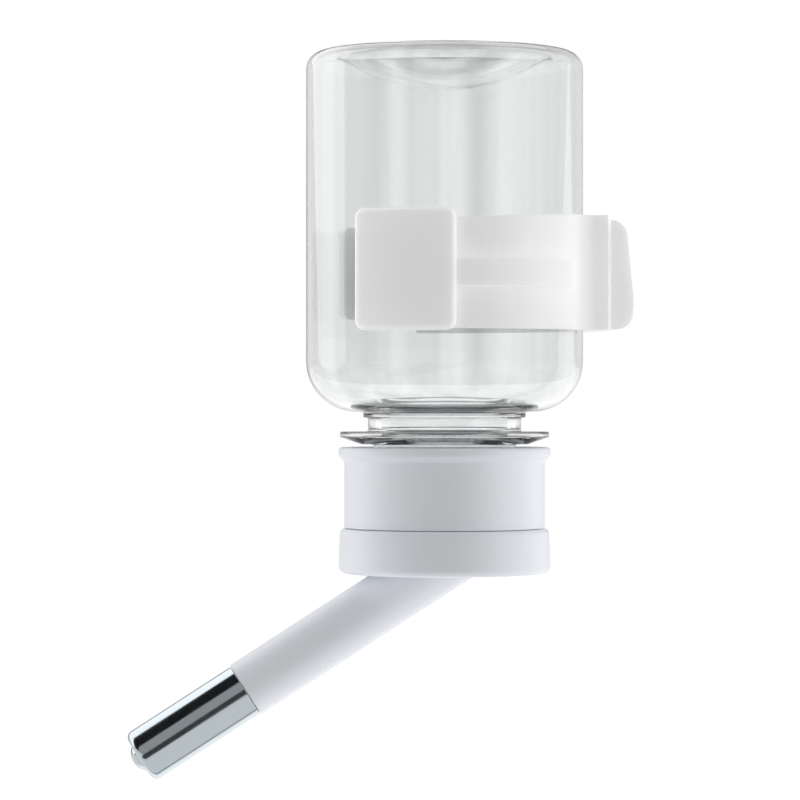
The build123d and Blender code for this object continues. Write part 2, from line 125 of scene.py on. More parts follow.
def rounded(corners, closed=False):
    """Points of an outline of (radius, height, fillet) corners, each corner turned by an arc."""
    count = len(corners)
    spots = [Vector(corner[:2]) for corner in corners]
    sides = [(spots[at - 1] - spots[at], spots[(at + 1) % count] - spots[at]) for at in range(count)]
    reaches = [corner[2] / math.tan(back.angle(ahead) / 2) if corner[2] else 0
               for corner, (back, ahead) in zip(corners, sides)]
    points = []
    for at, (here, (back, ahead), wanted) in enumerate(zip(spots, sides, reaches)):
        if wanted == 0 or (not closed and at in (0, count - 1)):
            points.append(here)
            continue
        # Two arcs on one side share its length
        shares = [SIDE_USED * side.length * wanted / (wanted + reaches[other % count])
                  for side, other in ((back, at - 1), (ahead, at + 1))]
        reach = min(wanted, *shares)
        half = back.angle(ahead) / 2
        arc_r = reach * math.tan(half)
        middle = back.normalized() + ahead.normalized()
        centre = here + middle.normalized() * (arc_r / math.sin(half))
        start = here + back.normalized() * reach - centre
        end = here + ahead.normalized() * reach - centre
        first = math.atan2(start.y, start.x)
        sweep = (math.atan2(end.y, end.x) - first + math.pi) % (2 * math.pi) - math.pi
        steps = max(3, math.ceil(abs(sweep) / ARC_STEP))
        for step in range(steps + 1):
            angle = first + sweep * step / steps
            points.append(centre + arc_r * Vector((math.cos(angle), math.sin(angle))))
    return points


def turned(outline, closed, segments=SEGMENTS):
    """A solid of revolution about Z. A point of the outline on the axis becomes a pole."""
    shape = bmesh.new()
    angles = [2 * math.pi * step / segments for step in range(segments)]
    rings = []
    for radius, height in outline:
        if radius < MERGE:
            rings.append([shape.verts.new((0, 0, height))])
        else:
            rings.append([shape.verts.new((radius * math.cos(a), radius * math.sin(a), height))
                          for a in angles])
    following = rings[1:] + rings[:1] if closed else rings[1:]
    for ring, other in zip(rings, following):
        for step in range(segments):
            after = (step + 1) % segments
            corners = [ring[step % len(ring)], ring[after % len(ring)],
                       other[after % len(other)], other[step % len(other)]]
            shape.faces.new(list(dict.fromkeys(corners)))
    bmesh.ops.recalc_face_normals(shape, faces=shape.faces[:])
    return shape


def shade(mesh):
    """Shades curved faces smooth and leaves real corners sharp."""
    mesh.shade_smooth()
    mesh.set_sharp_from_angle(angle=SHARP_ANGLE)


def mesh_from(shape, place):
    """A mesh made from a bmesh in its place, with its curved faces shaded smooth."""
    shape.transform(place)
    mesh = bpy.data.meshes.new("shape")
    shape.to_mesh(mesh)
    shape.free()
    shade(mesh)
    return mesh


def add_object(name, mesh):
    """A new object at the origin that shows a mesh, a lamp or a camera."""
    made = bpy.data.objects.new(name, mesh)
    bpy.context.scene.collection.objects.link(made)
    return made


def finish_piece(piece, material, slot, body, *nodes):
    """Gives a piece its material, the body that it moves with and the CAD nodes that it shows."""
    piece.data.materials.clear()
    piece.data.materials.append(material)
    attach(piece, body)
    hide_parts(*nodes)
    return piece


def apply_modifiers(piece):
    """Turns the evaluated piece into its plain mesh."""
    graph = bpy.context.evaluated_depsgraph_get()
    mesh = bpy.data.meshes.new_from_object(piece.evaluated_get(graph))
    piece.modifiers.clear()
    piece.data = mesh


def moulded_copy(node, edge, segments=3):
    """A merged copy of a CAD node whose sharp edges are rounded to a radius."""
    mesh = frame["nodes"][node].data.copy()
    shape = bmesh.new()
    shape.from_mesh(mesh)
    bmesh.ops.remove_doubles(shape, verts=shape.verts[:], dist=MERGE)
    bmesh.ops.dissolve_limit(shape, angle_limit=FLAT_ANGLE, verts=shape.verts[:],
                             edges=shape.edges[:])
    piece = add_object(node + "_moulded", mesh_from(shape, Matrix.Identity(4)))
    bevel = piece.modifiers.new("Rounded edges", "BEVEL")
    bevel.width = edge
    bevel.segments = segments
    bevel.limit_method = "ANGLE"
    bevel.angle_limit = SHARP_ANGLE
    bevel.use_clamp_overlap = True
    bevel.harden_normals = True
    apply_modifiers(piece)
    return piece


# ---------------------------------------------------------------- node trees

def add_node(tree, kind, inputs=None, **settings):
    """Adds a node with its settings, and gives each named or numbered input a value or a link."""
    made = tree.nodes.new(kind)
    for setting, value in settings.items():
        setattr(made, setting, value)
    for socket, value in (inputs or {}).items():
        if isinstance(value, bpy.types.NodeSocket):
            tree.links.new(value, made.inputs[socket])
        else:
            made.inputs[socket].default_value = value
    return made


def new_tree(name, **sizes):
    """A geometry tree with a geometry input, a material input and named sizes."""
    tree = bpy.data.node_groups.new(name, "GeometryNodeTree")
    tree.interface.new_socket("Geometry", in_out="INPUT", socket_type="NodeSocketGeometry")
    tree.interface.new_socket("Geometry", in_out="OUTPUT", socket_type="NodeSocketGeometry")
    tree.interface.new_socket("Material", in_out="INPUT", socket_type="NodeSocketMaterial")
    for label, value in sizes.items():
        kind = "NodeSocketInt" if isinstance(value, int) else "NodeSocketFloat"
        socket = tree.interface.new_socket(label, in_out="INPUT", socket_type=kind)
        socket.default_value = value
    return tree, tree.nodes.new("NodeGroupInput").outputs


def end_tree(tree, geometry, material):
    """Closes a tree with Realize Instances and Set Material."""
    real = add_node(tree, "GeometryNodeRealizeInstances", {"Geometry": geometry})
    painted = add_node(tree, "GeometryNodeSetMaterial", {"Geometry": real.outputs[0],
                                                         "Material": material})
    add_node(tree, "NodeGroupOutput", {0: painted.outputs[0]})


def run_tree(name, tree, material, sizes, mesh=None):
    """A new object made by a geometry tree, turned into a plain mesh."""
    piece = add_object(name, mesh or bpy.data.meshes.new(name))
    modifier = piece.modifiers.new(tree.name, "NODES")
    modifier.node_group = tree
    identifiers = {item.name: item.identifier for item in tree.interface.items_tree
                   if item.in_out == "INPUT"}
    modifier[identifiers["Material"]] = material
    for label, value in sizes.items():
        modifier[identifiers[label]] = value
    apply_modifiers(piece)
    shade(piece.data)
    return piece


def helix_tree(name):
    """A round ridge or wire that climbs round the Z axis."""
    tree, given = new_tree(name, Radius=1.0, Height=1.0, Turns=1.0, Wire=1.0, Sides=8, Steps=32)
    spiral = add_node(tree, "GeometryNodeCurveSpiral", {
        "Resolution": given["Steps"], "Rotations": given["Turns"], "Start Radius": given["Radius"],
        "End Radius": given["Radius"], "Height": given["Height"]})
    profile = add_node(tree, "GeometryNodeCurvePrimitiveCircle", {
        "Resolution": given["Sides"], "Radius": given["Wire"]}, mode="RADIUS")
    wire = add_node(tree, "GeometryNodeCurveToMesh", {
        "Curve": spiral.outputs[0], "Profile Curve": profile.outputs[0], "Fill Caps": True})
    end_tree(tree, wire.outputs[0], given["Material"])
    return tree


def grip_tree(name):
    """Equal upright ribs in a circle, added to the piece that they stand on."""
    tree, given = new_tree(name, Count=24, Radius=0.01, Rib=0.0005, Length=0.004, Base=0.0)
    circle = add_node(tree, "GeometryNodeMeshCircle", {
        "Vertices": given["Count"], "Radius": given["Radius"]})
    rib = add_node(tree, "GeometryNodeMeshCylinder", {
        "Vertices": 12, "Side Segments": 1, "Fill Segments": 1, "Radius": given["Rib"],
        "Depth": given["Length"]})
    half = add_node(tree, "ShaderNodeMath", {0: given["Length"], 1: 0.5}, operation="MULTIPLY")
    height = add_node(tree, "ShaderNodeMath", {0: half.outputs[0], 1: given["Base"]},
                      operation="ADD")
    lift = add_node(tree, "ShaderNodeCombineXYZ", {"Z": height.outputs[0]})
    raised = add_node(tree, "GeometryNodeTransform", {
        "Geometry": rib.outputs["Mesh"], "Translation": lift.outputs[0]})
    ribs = add_node(tree, "GeometryNodeInstanceOnPoints", {
        "Points": circle.outputs[0], "Instance": raised.outputs[0]})
    joined = add_node(tree, "GeometryNodeJoinGeometry", {"Geometry": given["Geometry"]})
    tree.links.new(ribs.outputs[0], joined.inputs[0])
    end_tree(tree, joined.outputs[0], given["Material"])
    return tree


# ---------------------------------------------------------------- materials

def linear(colour):
    """A linear RGBA colour from sRGB hex such as "F4F8F8"."""
    channels = [int(colour[at:at + 2], 16) / 255 for at in (0, 2, 4)]
    return [c / 12.92 if c <= 0.04045 else ((c + 0.055) / 1.055) ** 2.4 for c in channels] + [1.0]


def new_material(name, colour, **sockets):
    """A material with one Principled shader; sockets are named in lower case with underscores."""
    material = bpy.data.materials.new(name)
    material.use_nodes = True
    tree = material.node_tree
    shader = tree.nodes["Principled BSDF"]
    shader.inputs["Base Color"].default_value = linear(colour)
    for label, value in sockets.items():
        wanted = label.replace("_", " ").lower()
        socket = next(s for s in shader.inputs if s.name.lower() == wanted)
        socket.default_value = value
    return material, tree, shader


def placed_coordinates(tree, place=None, scale=(1, 1, 1)):
    """Object coordinates, seen from a piece's own axes and then scaled."""
    source = add_node(tree, "ShaderNodeTexCoord").outputs["Object"]
    if place is not None:
        back = place.inverted()
        source = add_node(tree, "ShaderNodeMapping", {
            "Vector": source, "Location": back.to_translation(),
            "Rotation": back.to_euler("XYZ")}).outputs[0]
    return add_node(tree, "ShaderNodeMapping", {"Vector": source, "Scale": scale}).outputs[0]


def add_bump(tree, shader, height, depth):
    """Bumps the surface by a height from 0 to 1 that stands for a depth in metres."""
    bump = add_node(tree, "ShaderNodeBump", {
        "Height": height, "Distance": depth, "Strength": 1.0})
    tree.links.new(bump.outputs[0], shader.inputs["Normal"])


def vary(tree, shader, socket, noise, low, high):
    """Lets a noise move one of the shader's numbers between two values."""
    spread = add_node(tree, "ShaderNodeMapRange", {
        "Value": noise, "From Min": 0.3, "From Max": 0.7, "To Min": low, "To Max": high})
    tree.links.new(spread.outputs[0], shader.inputs[socket])


def tint(tree, shader, noise, first, second):
    """Lets a noise move the colour between two sRGB hex values."""
    ramp = add_node(tree, "ShaderNodeMix", {0: noise, 6: linear(first), 7: linear(second)},
                    data_type="RGBA")
    tree.links.new(ramp.outputs[2], shader.inputs["Base Color"])


def make_blown_pet(look):
    """Stretch-blown PET: clear and glossy, its wall a little uneven in long upright waves."""
    material, tree, shader = new_material(
        "blown_pet", look.pet_colour, transmission_weight=1.0, ior=1.575, roughness=0.02)
    across = 9 * MM
    # Waves of the blown wall are about 9 mm across and 120 mm tall, and 0.03 mm deep
    waves = add_node(tree, "ShaderNodeTexNoise", {
        "Vector": placed_coordinates(tree, ON_AXIS, (1 / across, 1 / across, 1 / (120 * MM))),
        "Scale": 1.0, "Detail": 1.0, "Roughness": 0.4})
    add_bump(tree, shader, waves.outputs["Fac"], 0.03 * MM)
    # Thick and thin streaks are about 9 mm across and run from the neck to the base
    streaks = add_node(tree, "ShaderNodeTexNoise", {
        "Vector": placed_coordinates(tree, ON_AXIS, (1 / across, 1 / across, 1 / (500 * MM))),
        "Scale": 1.0, "Detail": 2.0, "Roughness": 0.5})
    sharper = add_node(tree, "ShaderNodeMapRange", {
        "Value": streaks.outputs["Fac"], "From Min": 0.35, "From Max": 0.65})
    tint(tree, shader, sharper.outputs[0], look.pet_colour, look.pet_shade)
    return material


def make_white_pp(look):
    """Injection-moulded polypropylene, pigmented white: satin, with a faint spark-eroded grain."""
    material, tree, shader = new_material(
        "moulded_white_pp", look.white_colour, roughness=0.4, ior=1.49, subsurface_weight=0.12,
        subsurface_scale=0.002, subsurface_radius=(1.0, 0.95, 0.9))
    # The grain is about 0.35 mm across and 4 microns deep
    grain = add_node(tree, "ShaderNodeTexNoise", {
        "Vector": placed_coordinates(tree), "Scale": 1 / (0.35 * MM), "Detail": 2.0})
    add_bump(tree, shader, grain.outputs["Fac"], 0.004 * MM)
    flow = add_node(tree, "ShaderNodeTexNoise", {
        "Vector": placed_coordinates(tree), "Scale": 1 / (14 * MM), "Detail": 3.0})
    tint(tree, shader, flow.outputs["Fac"], look.white_colour, look.white_shade)
    vary(tree, shader, "Roughness", flow.outputs["Fac"], 0.36, 0.44)
    return material


def make_frosted_pp(look):
    """Unpigmented polypropylene: milky and translucent, with a soft satin skin from the mould.

    A faint glow stands for the light that the milky wall carries across from its far side.
    """
    material, tree, shader = new_material(
        "natural_frosted_pp", look.frosted_colour, roughness=0.3, ior=1.49,
        subsurface_weight=0.6, subsurface_scale=0.004, subsurface_radius=(1.0, 1.0, 1.0),
        emission_color=(1, 1, 1, 1), emission_strength=0.15)
    # Flow clouds are about 6 mm across, and the skin's grain is 0.5 mm across and 5 microns deep
    clouds = add_node(tree, "ShaderNodeTexNoise", {
        "Vector": placed_coordinates(tree), "Scale": 1 / (6 * MM), "Detail": 3.0})
    tint(tree, shader, clouds.outputs["Fac"], look.frosted_colour, look.frosted_shade)
    vary(tree, shader, "Roughness", clouds.outputs["Fac"], 0.25, 0.36)
    grain = add_node(tree, "ShaderNodeTexNoise", {
        "Vector": placed_coordinates(tree), "Scale": 1 / (0.5 * MM), "Detail": 2.0})
    add_bump(tree, shader, grain.outputs["Fac"], 0.005 * MM)
    return material


def make_polished_steel(name, look, place, roughness, line=0.12 * MM):
    """Stainless steel, turned and then polished: bright, with fine lines round its own axis."""
    material, tree, shader = new_material(
        name, look.steel_colour, metallic=1.0, roughness=roughness, anisotropic=0.45)
    # Real turning lines are finer than 0.05 mm, and are drawn coarser here so that they show
    lines = add_node(tree, "ShaderNodeTexNoise", {
        "Vector": placed_coordinates(tree, place, (LATHE_SPREAD, LATHE_SPREAD, 1 / line)),
        "Scale": 1.0, "Detail": 2.0})
    add_bump(tree, shader, lines.outputs["Fac"], 0.0006 * MM)
    smears = add_node(tree, "ShaderNodeTexNoise", {
        "Vector": placed_coordinates(tree, place), "Scale": 1 / (5 * MM), "Detail": 3.0})
    vary(tree, shader, "Roughness", smears.outputs["Fac"], roughness * 0.85, roughness * 1.25)
    return material


def make_rubber(name, colour, shade, roughness, **sockets):
    """Pressed rubber: soft sheen, a fine grain about 0.15 mm across and a little bloom."""
    material, tree, shader = new_material(name, colour, roughness=roughness, ior=1.45, **sockets)
    grain = add_node(tree, "ShaderNodeTexNoise", {
        "Vector": placed_coordinates(tree), "Scale": 1 / (0.15 * MM), "Detail": 2.0})
    add_bump(tree, shader, grain.outputs["Fac"], 0.003 * MM)
    bloom = add_node(tree, "ShaderNodeTexNoise", {
        "Vector": placed_coordinates(tree), "Scale": 1 / (3 * MM), "Detail": 3.0})
    tint(tree, shader, bloom.outputs["Fac"], colour, shade)
    return material


def make_acetal(look):
    """Natural acetal, machined: slightly yellow white, slippery, with lathe rings 0.1 mm apart."""
    material, tree, shader = new_material(
        "natural_acetal", look.acetal_colour, roughness=0.34, ior=1.48, subsurface_weight=0.1,
        subsurface_scale=0.001)
    across = 5 * MM
    rings = add_node(tree, "ShaderNodeTexNoise", {
        "Vector": placed_coordinates(tree, None, (1 / across, 1 / across, 1 / (0.1 * MM))), "Scale": 1.0})
    add_bump(tree, shader, rings.outputs["Fac"], 0.002 * MM)
    vary(tree, shader, "Roughness", rings.outputs["Fac"], 0.3, 0.4)
    return material


def make_brass(look):
    """Free-cutting brass, turned: warm yellow metal with lathe lines about 0.12 mm apart."""
    material, tree, shader = new_material(
        "turned_brass", look.brass_colour, metallic=1.0, roughness=0.28, anisotropic=0.4)
    lines = add_node(tree, "ShaderNodeTexNoise", {
        "Vector": placed_coordinates(tree, None, (1 / (0.12 * MM), LATHE_SPREAD, LATHE_SPREAD)),
        "Scale": 1.0})
    add_bump(tree, shader, lines.outputs["Fac"], 0.002 * MM)
    vary(tree, shader, "Roughness", lines.outputs["Fac"], 0.22, 0.34)
    return material


def material_named(name):
    """A material that the materials operator has made."""
    found = bpy.data.materials.get(name)
    if found is None:
        raise RuntimeError(f"material {name} is missing; make the materials first")
    return found


def repaint(node, material):
    """Gives a CAD node, which keeps its own mesh, a better material."""
    frame["nodes"][node].material_slots[0].material = material


# ---------------------------------------------------------------- settings

def length(label, text, default):
    """A size that the user can change, in metres."""
    return FloatProperty(name=label, description=text, default=default, unit="LENGTH",
                         subtype="DISTANCE")


class BottleSizes(bpy.types.PropertyGroup):
    """Sizes of the bottle that the frame's boxes don't give."""
    wall: length("Wall", "Thickness of the blown wall", 1.2 * MM)
    base_corner: length("Base corner", "Radius where the wall meets the base", 4.5 * MM)
    foot_inner: length("Foot ring", "Inner radius of the flat foot ring", 26.6 * MM)
    punt_r: length("Punt radius", "Radius of the hollow in the base", 24.4 * MM)
    punt_edge: length("Punt edge", "Depth of the punt's rim under the foot ring", 1.3 * MM)
    punt_depth: length("Punt depth", "Depth of the punt's middle under the foot ring", 8.4 * MM)
    shoulder_r: length("Shoulder", "Radius of the shoulder", 12.7 * MM)
    shoulder_z: length("Shoulder height", "Height where the shoulder ends", -33.9 * MM)
    neck_r: length("Neck", "Outer radius of the neck above the flange", 19.1 * MM)
    bore_r: length("Bore", "Radius of the neck's bore", 15.9 * MM)
    flange_r: length("Flange", "Radius of the neck flange", 26.1 * MM)
    finish_r: length("Finish", "Root radius of the thread", 17.7 * MM)
    foot_edge: length("Foot edge", "Radius of the foot ring's inner edge", 0.8 * MM)
    throat: length("Throat", "Radius where the shoulder meets the bore", 2.6 * MM)
    thread_pitch: length("Pitch", "Rise of the neck thread in one turn", 4.2 * MM)
    thread_turns: FloatProperty(name="Turns", description="Turns of the neck thread", default=1.6)


class CapSizes(bpy.types.PropertyGroup):
    """Sizes of the screw cap and the swivelling ring below it."""
    cap_r: length("Cap", "Outer radius of the screw cap", 25.1 * MM)
    lip_height: length("Lip", "Height of the cap's flared lip", 3.4 * MM)
    wall: length("Wall", "Thickness of the cap's skirt", 1.7 * MM)
    floor_t: length("Floor", "Thickness of the cap's floor", 1.8 * MM)
    thread_wall_r: length("Thread wall", "Inner radius of the threaded wall", 19.4 * MM)
    hole_r: length("Hub hole", "Radius of the hole that the hub turns in", 13.68 * MM)
    gland_r: length("Gland", "Outer radius of the gland round the hub", 17.0 * MM)
    ring_top_r: length("Ring top", "Outer radius of the swivel ring at its top", 26.1 * MM)
    ring_corner: length("Ring corner", "Radius round the swivel ring's lower edge", 1.6 * MM)


class SpoutSizes(bpy.types.PropertyGroup):
    """Sizes along the spout, measured outwards from the ball's centre."""
    sleeve_r: length("Sleeve", "Outer radius of the steel sleeve", 6.87 * MM)
    sleeve_t: length("Sleeve wall", "Thickness of the steel sleeve", 0.5 * MM)
    sleeve_start: length("Sleeve start", "Where the sleeve begins", -28.4 * MM)
    sleeve_end: length("Sleeve end", "Where the sleeve's rolled mouth ends", 2.7 * MM)
    roll_r: length("Roll", "Radius of the rolled mouth", 1.9 * MM)
    mouth_r: length("Mouth", "Radius of the opening round the ball", 4.02 * MM)
    spring_start: length("Spring start", "Where the spring rests on its stop", -11.95 * MM)
    spring_r: length("Spring", "Mean radius of the spring", 3.0 * MM)
    spring_wire: length("Wire", "Radius of the spring's wire", 0.3 * MM)
    spring_turns: FloatProperty(name="Turns", description="Turns of the spring", default=6.0)


class ClipSizes(bpy.types.PropertyGroup):
    """Finish of the clip's mouldings."""
    edge: length("Edge", "Radius of the clip's moulded edges", 0.5 * MM)
    plate_edge: length("Plate edge", "Radius of the lock plate's edges", 0.8 * MM)
    grips: IntProperty(name="Grips", description="Grip ribs round the thumb nut", default=24)
    grip_r: length("Grip rib", "Radius of one grip rib", 0.55 * MM)


class Looks(bpy.types.PropertyGroup):
    """Colours, as sRGB hex."""
    pet_colour: StringProperty(name="PET", description="Tint of the bottle", default="F8F9F9")
    pet_shade: StringProperty(name="PET shade", description="Tint of the bottle's thick streaks",
                              default="E8E9E9")
    white_colour: StringProperty(name="White", description="White mouldings", default="F5F7FD")
    white_shade: StringProperty(name="White shade", description="White, a shade down",
                                default="F0F3FA")
    frosted_colour: StringProperty(name="Frosted", description="Clip mouldings", default="FBFCFD")
    frosted_shade: StringProperty(name="Frosted shade", description="Clip, a shade down",
                                  default="F3F4F6")
    steel_colour: StringProperty(name="Steel", description="Stainless steel", default="C5CED3")
    acetal_colour: StringProperty(name="Acetal", description="Valve parts", default="EAE6D8")
    brass_colour: StringProperty(name="Brass", description="Nut insert", default="C9A45C")
    silicone_colour: StringProperty(name="Silicone", description="Seals", default="E6E8E8")
    silicone_shade: StringProperty(name="Silicone shade", description="Seals, a shade down",
                                   default="DADDDD")
    nitrile_colour: StringProperty(name="Nitrile", description="O-rings", default="141414")
    nitrile_shade: StringProperty(name="Nitrile shade", description="O-rings, a shade up",
                                  default="1E1E1E")


class StudioSizes(bpy.types.PropertyGroup):
    """The camera, the floor and the lights."""
    distance: length("Distance", "From the camera to the bottle's axis", 0.925)
    turn: FloatProperty(name="Turn", description="Turn of the camera to the bottle's left",
                        default=math.radians(5.5), subtype="ANGLE")
    eye: length("Eye level", "Height of the camera", -31 * MM)
    aside: length("Aside", "Shift of the view's middle to the bottle's left", 11.125 * MM)
    lens: FloatProperty(name="Lens", description="Focal length on a 36 mm sensor", default=166.5,
                        unit="CAMERA")
    floor_drop: length("Floor drop", "From the spout's tip down to the floor", 0.22)
    room: FloatProperty(name="Room light", description="Strength of the room's even light",
                        default=0.4)
    room_behind: FloatProperty(name="Light from behind", default=0.55,
                               description="Strength of the room's light from behind the bottle")
    ceiling: FloatProperty(name="Ceiling", default=0.1,
                           description="Brightness of the ceiling that the clear wall shows")
    ground: FloatProperty(name="Ground", default=0.65,
                          description="Brightness of the ground that the clear wall shows")
    mirrored_floor: FloatProperty(name="Mirrored floor", default=0.45,
                                  description="Extra light from below that reflections show")
    sides: FloatProperty(name="Lights", default=4.1,
                         description="Power of the left softbox, in watts; the others follow it")


# ---------------------------------------------------------------- operators

class BOTTLE_OT_camera(bpy.types.Operator):
    """Put the camera level with the neck, a little to the left of the bottle's front"""
    bl_idname = "water_bottle.camera"
    bl_label = "Camera"

    def execute(self, context):
        studio = context.scene.water_studio
        ahead = Vector((math.sin(studio.turn), math.cos(studio.turn), 0))
        right = Vector((math.cos(studio.turn), -math.sin(studio.turn), 0))
        data = bpy.data.cameras.new("camera")
        data.lens = studio.lens
        data.sensor_width = 36
        data.clip_start = 0.01
        camera = add_object("camera", data)
        place = Vector((AXIS_X, 0, studio.eye)) - studio.distance * ahead - studio.aside * right
        turn = ahead.to_track_quat("-Z", "Y").to_matrix().to_4x4()
        camera.matrix_world = Matrix.Translation(place) @ turn
        context.scene.camera = camera
        return {"FINISHED"}


class BOTTLE_OT_stage(bpy.types.Operator):
    """Lay a pale floor and set soft lights round the bottle"""
    bl_idname = "water_bottle.stage"
    bl_label = "Floor and lights"

    def execute(self, context):
        studio = context.scene.water_studio
        context.scene.view_settings.view_transform = "Standard"
        self.make_floor(studio)
        self.make_room(context.scene, studio)
        self.make_cards(studio)
        self.make_lights(studio)
        return {"FINISHED"}

    def make_floor(self, studio):
        """A wide matt white sweep, lit from within just enough to stay pale under the object."""
        material, tree, shader = new_material(
            "matt_white_floor", "FAFAFA", roughness=0.9, emission_strength=0.75,
            emission_color=(1, 1, 1, 1))
        paper = add_node(tree, "ShaderNodeTexNoise", {
            "Vector": placed_coordinates(tree), "Scale": 1 / (2 * MM), "Detail": 2.0})
        add_bump(tree, shader, paper.outputs["Fac"], 0.02 * MM)
        floor_z, floor_r = CAD_BOUNDS[0].z - studio.floor_drop, 6.0
        shape = bmesh.new()
        bmesh.ops.create_circle(shape, cap_ends=True, radius=floor_r, segments=96)
        floor = add_object("floor", mesh_from(shape, Matrix.Translation((AXIS_X, 0, floor_z))))
        floor.data.materials.append(material)
        floor.visible_diffuse = False
        floor.visible_glossy = False

    def make_room(self, scene, studio):
        """White where it is looked at or seen through the clear wall, with a darker ceiling and
        ground that only the clear wall shows. As a light it is dimmer, and brightest behind the
        bottle, and its ground is paler in reflections.

        A direction's X, Y and Z run from -1 to 1, so they say how far it points each way."""
        shade_from, shade_to, floor_from, floor_to, behind_to = 0.2, 0.6, -0.05, -0.25, 0.8
        world = bpy.data.worlds.new("white_room")
        world.use_nodes = True
        tree = world.node_tree
        tree.nodes.clear()
        path = add_node(tree, "ShaderNodeLightPath")
        direction = add_node(tree, "ShaderNodeSeparateXYZ", {
            0: add_node(tree, "ShaderNodeTexCoord").outputs["Generated"]})
        above, below = [add_node(tree, "ShaderNodeMapRange", {
            "Value": direction.outputs["Z"], "From Min": shade_from * way,
            "From Max": shade_to * way, "To Min": 1.0, "To Max": dark})
            for way, dark in ((1, studio.ceiling), (-1, studio.ground))]
        walls = add_node(tree, "ShaderNodeMath", {0: above.outputs[0], 1: below.outputs[0]},
                         operation="MULTIPLY")
        # Light that has left a matt surface finds the whole room white
        backdrop = add_node(tree, "ShaderNodeMath", {
            0: walls.outputs[0], 1: path.outputs["Diffuse Depth"]}, operation="MAXIMUM",
            use_clamp=True)
        through = add_node(tree, "ShaderNodeMath", {
            0: path.outputs["Is Transmission Ray"], 1: backdrop.outputs[0]}, operation="MULTIPLY")
        seen = add_node(tree, "ShaderNodeMath", {
            0: path.outputs["Is Camera Ray"], 1: through.outputs[0]}, operation="MAXIMUM")
        mirrored = add_node(tree, "ShaderNodeMapRange", {
            "Value": direction.outputs["Z"], "From Min": floor_from, "From Max": floor_to,
            "To Min": 0.0, "To Max": studio.mirrored_floor})
        shine = add_node(tree, "ShaderNodeMath", {
            0: path.outputs["Is Glossy Ray"], 1: mirrored.outputs[0]}, operation="MULTIPLY")
        behind = add_node(tree, "ShaderNodeMapRange", {
            "Value": direction.outputs["Y"], "From Min": 0.0, "From Max": behind_to,
            "To Min": studio.room, "To Max": studio.room_behind})
        dim = add_node(tree, "ShaderNodeMath", {0: shine.outputs[0], 1: behind.outputs[0]},
                       operation="ADD")
        strength = add_node(tree, "ShaderNodeMapRange", {
            "Value": seen.outputs[0], "To Min": dim.outputs[0], "To Max": 1.0})
        light = add_node(tree, "ShaderNodeBackground", {
            "Color": linear("FFFFFF"), "Strength": strength.outputs[0]})
        add_node(tree, "ShaderNodeOutputWorld", {"Surface": light.outputs[0]})
        scene.world = world

    def make_cards(self, studio):
        """Long cards beside the spout, dark, grey and white, seen only in reflections.

        Each fills the angles round the spout from first to last, in degrees, where 0 faces the
        camera and 90 is above the spout."""
        ahead = Vector((math.sin(studio.turn), math.cos(studio.turn), 0))
        along = spout_place().to_3x3() @ Vector((0, 0, 1))
        above = along.cross(ahead).normalized()
        if above.z < 0:
            above.negate()
        for name, first, last, glow in (("dark_upper_card", 44, 92, 0.0),
                                        ("dark_front_card", -15, 7, 0.05),
                                        ("white_upper_card", 96, 145, 1.5),
                                        ("grey_lower_card", -111, -101, 0.42),
                                        ("white_lower_card", -152, -114, 1.3)):
            material = new_material(name, "050505", roughness=1.0, emission_color=(1, 1, 1, 1),
                                    emission_strength=glow)[0]
            middle, half = math.radians((first + last) / 2), math.radians((last - first) / 2)
            towards = math.sin(middle) * above - math.cos(middle) * ahead
            width = 2 * CARD_DISTANCE * math.tan(half)
            turn = Matrix((along, towards.cross(along), towards)).transposed().to_4x4()
            shape = bmesh.new()
            bmesh.ops.create_grid(shape, x_segments=1, y_segments=1, size=0.5)
            shape.transform(Matrix.Diagonal((CARD_LENGTH, width, 1, 1)))
            place = Matrix.Translation(BALL_CENTRE + CARD_DISTANCE * towards) @ turn
            card = add_object(name, mesh_from(shape, place))
            card.data.materials.append(material)
            for rays in ("camera", "diffuse", "transmission", "shadow", "volume_scatter"):
                setattr(card, "visible_" + rays, False)

    def make_lights(self, studio):
        """A large softbox on each side, one overhead and a small one under the spout."""
        middle = (CAD_BOUNDS[0] + CAD_BOUNDS[1]) / 2
        for name, offset, width, height, watts in (
                ("left_softbox", (-0.8, 0.1, 0.0), 0.9, 1.1, studio.sides),
                ("right_softbox", (0.75, -0.15, 0.0), 0.9, 1.1, studio.sides * 1.1),
                ("top_softbox", (0.0, 0.1, 0.8), 0.7, 0.7, studio.sides * 0.35),
                ("low_softbox", (0.0, 0.05, -0.28), 0.45, 0.4, studio.sides * 0.12)):
            data = bpy.data.lights.new(name, "AREA")
            data.shape = "RECTANGLE"
            data.size, data.size_y = width, height
            data.energy = watts
            light = add_object(name, data)
            turn = (-Vector(offset)).to_track_quat("-Z", "Y").to_matrix().to_4x4()
            light.matrix_world = Matrix.Translation(middle + Vector(offset)) @ turn
            light.visible_camera = False
            light.visible_glossy = False
            light.visible_transmission = False


class BOTTLE_OT_materials(bpy.types.Operator):
    """Make the plastics, rubbers and metals that the bottle is made of"""
    bl_idname = "water_bottle.materials"
    bl_label = "Materials"

    def execute(self, context):
        look = context.scene.water_looks
        spout = spout_place()
        make_blown_pet(look)
        make_white_pp(look)
        make_frosted_pp(look)
        make_polished_steel("drawn_stainless_sleeve", look, spout, 0.13)
        make_polished_steel("turned_stainless", look, nut_place(), 0.24)
        make_polished_steel("polished_stainless_ball", look, spout, 0.05)
        make_polished_steel("drawn_spring_wire", look, spout, 0.3)
        make_polished_steel("pressed_snap_ring", look, ON_AXIS, 0.26)
        make_rubber("clear_silicone", look.silicone_colour, look.silicone_shade, 0.5,
                    transmission_weight=0.3)
        make_rubber("black_nitrile", look.nitrile_colour, look.nitrile_shade, 0.55)
        make_acetal(look)
        make_brass(look)
        return {"FINISHED"}


